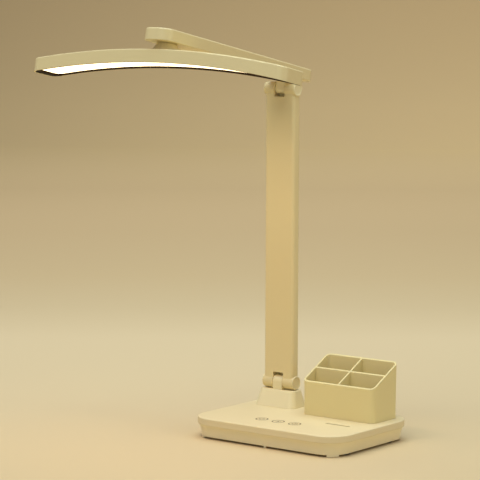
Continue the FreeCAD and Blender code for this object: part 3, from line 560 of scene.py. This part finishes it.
# screws: a head with a cross recess on a threaded shank
screwSize = {
    "head": 0.0027, "height": 0.0013, "dome": 0.00025, "edgeDrop": 0.00012,
    "shank": 0.00148, "length": 0.0075, "pitch": 0.0009, "thread": 0.00026,
    "cross": 0.0015, "slot": 0.00034, "sunk": 0.0009, "runIn": (0.0006, 0.0014),
    "runOut": 0.001, "tip": 0.0012,
}


def screwPoints(s):
    # head: a low dome, less a cross-shaped well; shank: radius rises and falls with
    # height over pitch minus turn, which winds a thread round it
    turn = np.linspace(0, 2 * np.pi, 48, endpoint=False)
    face = np.concatenate([[0, 0.04], np.linspace(0.1, 0.92, 20), [0.96, 0.985, 1.0]]) * s["head"]
    r = face[:, None] * np.ones_like(turn)
    x, y = r * np.cos(turn), r * np.sin(turn)
    dome = -s["dome"] * (r / s["head"]) ** 2
    dome = dome - s["edgeDrop"] * easeStep(r, 0.93 * s["head"], s["head"])

    def wing(a, b):  # one arm of the cross
        narrow = 1 - easeStep(np.abs(a), s["slot"] * 0.8, s["slot"] * 1.3)
        return narrow * (1 - easeStep(np.abs(b), s["cross"] * 0.9, s["cross"] * 1.1))

    well = np.maximum(wing(x, y), wing(y, x)) * s["sunk"] * (1 - 0.5 * r / s["head"])
    top = np.stack([x, y, dome - well], -1)
    rim = np.array([[1.0, -0.0005], [1.0, -s["height"] + 0.0001], [0.985, -s["height"]]])
    neck = np.array([[s["shank"] / s["head"], -s["height"] - 0.00002]])
    side = np.concatenate([rim, neck])
    reach = side[:, :1] * s["head"]
    sides = np.stack([reach * np.cos(turn), reach * np.sin(turn), side[:, 1:] + 0 * turn], -1)
    down = np.linspace(0.0001, s["length"], 90)[:, None]
    phase = (down / s["pitch"] - turn / (2 * np.pi)) % 1.0
    fade = easeStep(down, *s["runIn"])
    fade = fade * (1 - 0.6 * easeStep(down, s["length"] - s["runOut"], s["length"]))
    point = 1 - 0.45 * easeStep(down, s["length"] - s["tip"], s["length"])
    radius = (s["shank"] - s["thread"] * np.abs(2 * phase - 1) * fade) * point
    below = -s["height"] - down + 0 * turn
    shank = np.stack([radius * np.cos(turn), radius * np.sin(turn), below], -1)
    end = shank[-1:] * [0, 0, 1]
    return np.concatenate([top[:1] * [0, 0, 1], top[1:], sides, shank, end])


# where the hinges stand, and the arm's tilt at rest
stand = {"x": -0.0565, "y": 0.0416, "lower": 0.0475, "upper": 0.3595, "tilt": math.radians(11.3)}


def armPoint(x, y, z):  # a place drawn level on the arm, turned to its tilt
    c, s = math.cos(stand["tilt"]), math.sin(stand["tilt"])
    return (stand["x"] + x, stand["y"] + y * c + z * s, stand["upper"] - y * s + z * c)


armRight = (1.0, 0.0, 0.0)
armFront = (0.0, -math.cos(stand["tilt"]), math.sin(stand["tilt"]))
armDown = (0.0, -math.sin(stand["tilt"]), -math.cos(stand["tilt"]))
screwPlaces = {
    "case": (0.078, 0.054, 0.0044), "bracket": (0.009, 0.007, 0.0022),
    "columnBack": 0.006, "columnFirst": 0.030, "columnPitch": 0.126, "columnCount": 3,
    "armAlong": (0.0254, -0.062, -0.128), "armUnder": 0.0128,
}


def cornersOf(x, y, spread):  # four places about x and y
    across, along, height = spread
    return [(x + i * across, y + j * along, height) for i in (-1, 1) for j in (-1, 1)]


oneScrew = screwPoints(screwSize)
casePlaces = cornersOf(0, 0, screwPlaces["case"])
skins("caseScrews", onto(oneScrew, casePlaces, (1, 0, 0), (0, -1, 0), (0, 0, -1)),
      finishes["zinc"], "base", "zinc_steel", "base_screws")
bracketPlaces = cornersOf(stand["x"], stand["y"], screwPlaces["bracket"])
skins("bracketScrews", onto(oneScrew, bracketPlaces, (1, 0, 0), (0, -1, 0), (0, 0, -1)),
      finishes["zinc"], "base", "zinc_steel", "bracket_screws")
columnPlaces = [
    (stand["x"], stand["y"] + screwPlaces["columnBack"],
     stand["lower"] + screwPlaces["columnFirst"] + i * screwPlaces["columnPitch"])
    for i in range(screwPlaces["columnCount"])
]
skins("columnScrews", onto(oneScrew, columnPlaces, (-1, 0, 0), (0, 0, 1), (0, 1, 0)),
      finishes["zinc"], "column", "zinc_steel", "column_screws")
armPlaces = [armPoint(0, y, screwPlaces["armUnder"]) for y in screwPlaces["armAlong"]]
skins("armScrews", onto(oneScrew, armPlaces, armRight, armFront, armDown),
      finishes["zinc"], "arm", "zinc_steel", "arm_screws")
print("screws cut")


def turned(profile, turns=64):  # a profile of radius and height, turned about Z
    turn = np.linspace(0, 2 * np.pi, turns, endpoint=False)
    r, z = np.array(profile)[:, :1], np.array(profile)[:, 1:]
    return np.stack([r * np.cos(turn), r * np.sin(turn), z + 0 * turn], -1)


# rubber feet: two rings moulded into the tread
footSize = {
    "radius": 0.0070, "height": 0.0028, "round": 0.0005, "groove": 0.00030,
    "rings": (0.0024, 0.0046), "ringWidth": 0.0005, "spread": (0.081, 0.038, 0.0),
}


def footProfile(s):
    # top face, side wall, rounded foot edge, then the tread with a cosine dip at each ring
    edge = np.linspace(0, np.pi / 2, 6)
    r = s["radius"] - s["round"] + s["round"] * np.cos(edge)
    z = s["round"] - s["round"] * np.sin(edge)
    tread = np.linspace(s["radius"] - s["round"] - 0.0001, 0, 60)
    dip = sum(0.5 + 0.5 * np.cos(np.clip((tread - at) / s["ringWidth"], -1, 1) * np.pi)
              for at in s["rings"])
    top, wall = s["height"], s["radius"]
    rows = [(0, top), (wall - 0.0001, top), (wall, top - 0.0001)]
    return np.concatenate([
        rows, np.stack([r, z], 1), np.stack([tread, dip * s["groove"]], 1),
    ])


footPlaces = cornersOf(0, 0, footSize["spread"]) + [(0, 0, 0)]
feet = turned(footProfile(footSize))
skins("rubberFeet", onto(feet, footPlaces, (1, 0, 0), (0, 1, 0), (0, 0, 1)),
      finishes["rubber"], "base", "foot_rubber", "rubber_feet")


# hinge caps: a soft rim round a shallow dish
capSize = {
    "radius": 0.0074, "thick": 0.0012, "round": 0.0009, "dish": 0.0005,
    "dishStep": (0.0050, 0.0058), "plug": 0.00445, "plugDepth": 0.0010, "out": 0.019,
}


def capProfile(s):
    # the dish falls off as a smooth step inside the rim, and the rim is a quarter round
    face = np.linspace(0, s["radius"] - s["round"], 30)
    dish = s["thick"] - s["dish"] * (1 - easeStep(face, *s["dishStep"]))
    edge = np.linspace(0.15, np.pi / 2, 8)
    r = s["radius"] - s["round"] + s["round"] * np.sin(edge)
    z = s["thick"] - s["round"] + s["round"] * np.cos(edge)
    rest = [(s["radius"], 0.00005), (s["radius"] - 0.00005, 0), (s["plug"] + 0.00002, 0),
            (s["plug"], -0.00005), (s["plug"], -s["plugDepth"]), (0, -s["plugDepth"])]
    return np.concatenate([np.stack([face, dish], 1), np.stack([r, z], 1), rest])


cap = turned(capProfile(capSize))
for label in ("lower", "upper"):
    rightAt = (stand["x"] + capSize["out"], stand["y"], stand[label])
    leftAt = (stand["x"] - capSize["out"], stand["y"], stand[label])
    rightCap = onto(cap, [rightAt], (0, 1, 0), (0, 0, 1), (1, 0, 0))
    leftCap = onto(cap, [leftAt], (0, -1, 0), (0, 0, 1), (-1, 0, 0))
    skins(label + "HingeCaps", np.concatenate([rightCap, leftCap]), finishes["hingePaintedLight"],
          "column", "casing", label + "_end_caps")
print("feet and hinge caps turned")

# studio: one pale sweep, a wide soft box overhead and fills round it; the sweep's tones are
# painted light and shade, and they and the lights' powers and tints are fitted values, for the
# view of this one camera
studio = {
    "floorColor": (0.72, 0.60, 0.313), "reach": 9.0, "bendAt": 4.05, "bend": 1.5, "wall": 3.5,
    "heading": 0.65782, "ambient": (0.75, 0.62, 1.0), "ambientStrength": 0.22,
    "depth": (-1.0, 5.4),  # where the fitted tones start and end, away from the camera
    # painted light and shade: the sweep's colour runs through these tones, darker and lighter in
    # bands away from the camera
    "tones": (
        (0.10, (0.68, 0.64, 0.67)), (0.18, (0.76, 0.72, 0.79)), (0.26, (0.91, 0.86, 0.94)),
        (0.36, (0.86, 0.78, 0.75)), (0.46, (0.82, 0.75, 0.68)), (0.60, (0.83, 0.78, 0.67)),
        (0.79, (1.07, 1.06, 0.88)), (0.87, (0.98, 0.95, 0.78)), (0.95, (0.82, 0.77, 0.62)),
    ),
    # painted light and shade across the sweep's far part, darker to the left and lighter to the
    # right
    "leftPaintedShade": 0.95, "rightPaintedLight": 1.45, "sideSlope": 0.45, "sideDepth": (2.0, 4.2),
}


def sweepMaterial(s):
    f = Finish("sweep", Specular_IOR_Level=0.2)
    facing = f.add("ShaderNodeMapping", {}, {  # y now runs away from the camera
        "Vector": f.place, "Rotation": (0, 0, -s["heading"]),
    })
    x, y, z = f.axes(facing)
    # painted light and shade: the fitted tones along the sweep, times a side-to-side shade across
    # it
    depth = y.between(*s["depth"])
    slow = f.add("ShaderNodeValToRGB", {"stops": s["tones"]}, {"Fac": depth}, "Color")
    sideways = x * s["sideSlope"] * y.between(*s["sideDepth"]) + 0.5
    side = f.mix((s["leftPaintedShade"],) * 3, (s["rightPaintedLight"],) * 3, sideways)
    paper = f.noise(240.0, 4.0, 0.6)
    tone = f.times(s["floorColor"], f.times(slow, side))
    tone = f.mix(tone, shade(s["floorColor"], 0.93), paper * 0.10)
    return f.surface(Base_Color=tone, Roughness=0.75 + (paper - 0.5) * 0.1,
                     Normal=f.bump(paper, 0.00002))


def makeSweep(s):
    # profile: a level run, a quarter round by sine and cosine, a wall; swept straight across
    bend = np.linspace(0, np.pi / 2, 40)
    wallAt = s["bendAt"] + s["bend"]
    run = np.concatenate([[-s["reach"]], s["bendAt"] + s["bend"] * np.sin(bend), [wallAt]])
    rise = np.concatenate([[0], s["bend"] - s["bend"] * np.cos(bend), [s["wall"]]])
    across = np.array([-s["reach"], s["reach"]])
    c, n = math.cos(s["heading"]), math.sin(s["heading"])
    x = across[None] * c - run[:, None] * n
    y = across[None] * n + run[:, None] * c
    points = np.stack([x, y, rise[:, None] + 0 * x], -1).reshape(-1, 3)
    i = np.arange(len(run) - 1)
    faces = np.stack([2 * i, 2 * i + 1, 2 * i + 3, 2 * i + 2], 1)
    mesh = bpy.data.meshes.new("sweep")
    mesh.from_pydata(points.tolist(), [], faces.tolist())
    mesh.polygons.foreach_set("use_smooth", np.ones(len(faces), bool))
    mesh.materials.append(sweepMaterial(s))
    sweep = bpy.data.objects.new("sweep", mesh)
    scene.collection.objects.link(sweep)


def alongView(distance, height):  # a place on the line that looks across the sweep
    heading = studio["heading"]
    return (-distance * math.sin(heading), distance * math.cos(heading), height)


softBoxes = {
    "overhead": {"at": (0.0, 0.2, 2.2), "to": (0, 0, 0), "size": (2.2, 2.2), "power": 42.5,
                 "color": (0.80, 0.95, 1.0)},
    "high": {"at": (-0.2, -1.0, 2.0), "to": (0, 0, 0.2), "size": (1.6, 1.0), "power": 18.0,
             "color": (0.95, 0.97, 0.95)},
    "front": {"at": (0.6, -2.6, 0.7), "to": (0, 0, 0.2), "size": (1.6, 0.8), "power": 2.4,
              "color": (0.67, 1.0, 0.60)},
    "low": {"at": (0.35, -1.35, 0.35), "to": (0, 0, 0.02), "size": (1.2, 0.5), "power": 1.5,
            "color": (0.62, 0.82, 1.0)},
    "right": {"at": (2.3, 0.3, 1.1), "to": (0, 0, 0.2), "size": (1.4, 1.6), "power": 11.2,
              "color": (1.0, 0.97, 0.75)},
    # stands in for what the lit panel throws on the column
    "glow": {"at": armPoint(0, -0.1975, -0.024), "to": armPoint(0, -0.1975, -0.2),
             "size": (0.29, 0.028), "power": 0.29, "color": (1.0, 0.655, 0.46)},
    # brightens the far part of the sweep
    "wash": {"at": alongView(2.0, 2.4), "to": alongView(5.4, 0.9), "size": (3.0, 1.0),
             "power": 56.0, "color": (0.81, 0.81, 1.0)},
}


def lightUp(name, box):
    data = bpy.data.lights.new(name, "AREA")
    data.shape = "RECTANGLE"
    data.size, data.size_y = box["size"]
    data.energy = box["power"]
    data.color = box["color"]
    light = bpy.data.objects.new(name, data)
    light.location = box["at"]
    way = Vector(box["to"]) - Vector(box["at"])
    light.rotation_euler = way.to_track_quat("-Z", "Y").to_euler()
    light.visible_camera = False
    scene.collection.objects.link(light)


def fillRoom(s):  # the weak light from all round
    world = bpy.data.worlds.new("room")
    world.use_nodes = True
    background = world.node_tree.nodes["Background"]
    background.inputs["Color"].default_value = (*s["ambient"], 1.0)
    background.inputs["Strength"].default_value = s["ambientStrength"]
    scene.world = world


makeSweep(studio)
fillRoom(studio)
for name, box in softBoxes.items():
    lightUp(name, box)
print("studio lit")
